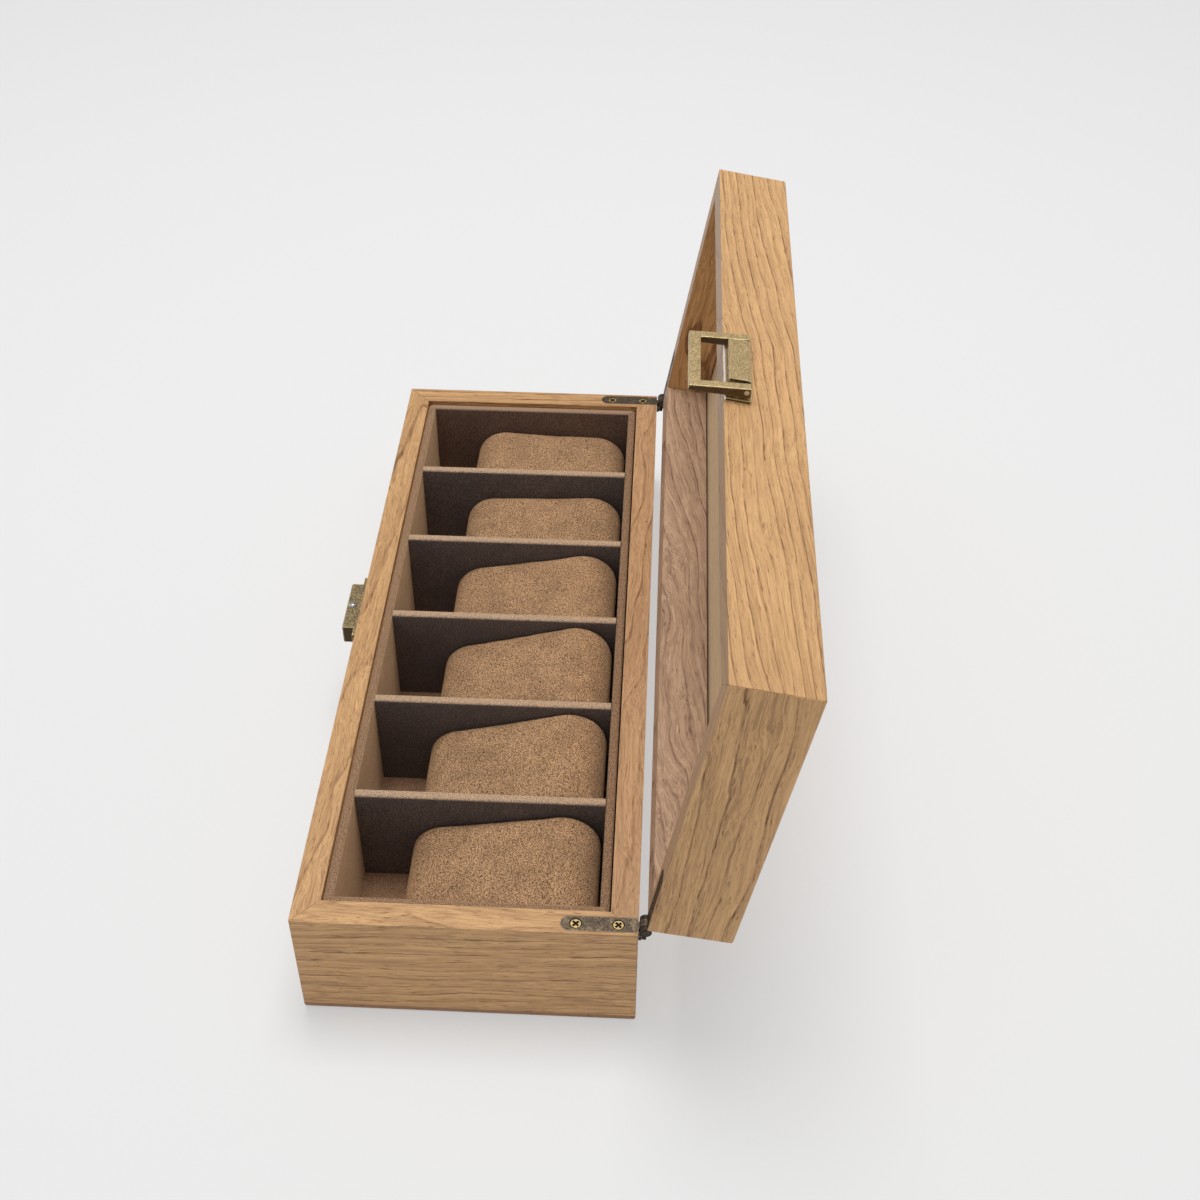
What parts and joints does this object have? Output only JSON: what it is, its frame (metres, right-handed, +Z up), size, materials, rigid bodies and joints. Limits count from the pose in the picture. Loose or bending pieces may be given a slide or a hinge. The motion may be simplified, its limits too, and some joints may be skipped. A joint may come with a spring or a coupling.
{
  "type": "watch box",
  "caption": "Oak case with a hinged lid, suede-lined slots with loose pillows, stop hinges and a brass hasp with a flip-over loop.",
  "frame": {"origin": "centre of the base's flat underside, which the box rests on", "axes": "+X along the length, -Y towards the catch, +Y towards the hinges, +Z up; the lid is open at its stop at rest"},
  "size_m": [0.3, 0.1672, 0.1654],
  "materials": {
    "oak": "satin lacquered oak veneer, open pores",
    "oak_board": "darker oak board edge",
    "lining_suede": "napped suede cloth on card",
    "divider_suede": "dark napped suede cloth on card, worn light on the top edge",
    "pillow_suede": "napped suede cloth over foam",
    "antique_brass": "antique plating, bright on worn edges",
    "hinge_bronze": "dark antique bronze",
    "bright_brass": "plain brass",
    "steel": "nickelled steel"
  },
  "bodies": {
    "base": {"base_front_wall": "oak", "base_back_wall": "oak", "base_left_wall": "oak", "base_right_wall": "oak", "base_bottom_board": "oak_board", "lining_front": "lining_suede", "lining_back": "lining_suede", "lining_left": "lining_suede", "lining_right": "lining_suede", "floor_lining": "lining_suede", "divider_1": "divider_suede", "divider_2": "divider_suede", "divider_3": "divider_suede", "divider_4": "divider_suede", "divider_5": "divider_suede", "catch_plate": "antique_brass", "catch_screw": "steel", "catch_brads": "antique_brass", "hinge_base_leaf_left": "hinge_bronze", "hinge_base_leaf_right": "hinge_bronze", "hinge_pin_left": "bright_brass", "hinge_pin_right": "bright_brass", "hinge_base_screws": "bright_brass"},
    "lid": {"lid_front_wall": "oak", "lid_back_wall": "oak", "lid_left_wall": "oak", "lid_right_wall": "oak", "lid_top_panel": "oak", "hinge_lid_leaf_left": "hinge_bronze", "hinge_lid_leaf_right": "hinge_bronze", "hinge_lid_screws": "bright_brass", "hasp_bracket": "antique_brass", "hasp_brads": "antique_brass", "hasp_pin": "steel"},
    "hasp_loop": {"hasp_loop": "antique_brass"},
    "pillow_1": {"pillow_1": "pillow_suede"},
    "pillow_2": {"pillow_2": "pillow_suede"},
    "pillow_3": {"pillow_3": "pillow_suede"},
    "pillow_4": {"pillow_4": "pillow_suede"},
    "pillow_5": {"pillow_5": "pillow_suede"},
    "pillow_6": {"pillow_6": "pillow_suede"}
  },
  "joints": [
    {"name": "lid_hinge", "type": "hinge", "parent": "base", "child": "lid", "pos_m": [0, 0.05835, 0.0471], "axis": [-1, 0, 0], "range_deg": [-100, 0]},
    {"name": "hasp_hinge", "type": "hinge", "parent": "lid", "child": "hasp_loop", "pos_m": [-0.002, 0.08583, 0.16263], "axis": [-1, 0, 0], "range_deg": [0, 180]},
    {"name": "pillow_1_lift", "type": "slide", "parent": "base", "child": "pillow_1", "axis": [0, 0, 1], "range_m": [0, 0.045]},
    {"name": "pillow_2_lift", "type": "slide", "parent": "base", "child": "pillow_2", "axis": [0, 0, 1], "range_m": [0, 0.045]},
    {"name": "pillow_3_lift", "type": "slide", "parent": "base", "child": "pillow_3", "axis": [0, 0, 1], "range_m": [0, 0.045]},
    {"name": "pillow_4_lift", "type": "slide", "parent": "base", "child": "pillow_4", "axis": [0, 0, 1], "range_m": [0, 0.045]},
    {"name": "pillow_5_lift", "type": "slide", "parent": "base", "child": "pillow_5", "axis": [0, 0, 1], "range_m": [0, 0.045]},
    {"name": "pillow_6_lift", "type": "slide", "parent": "base", "child": "pillow_6", "axis": [0, 0, 1], "range_m": [0, 0.045]}
  ]
}
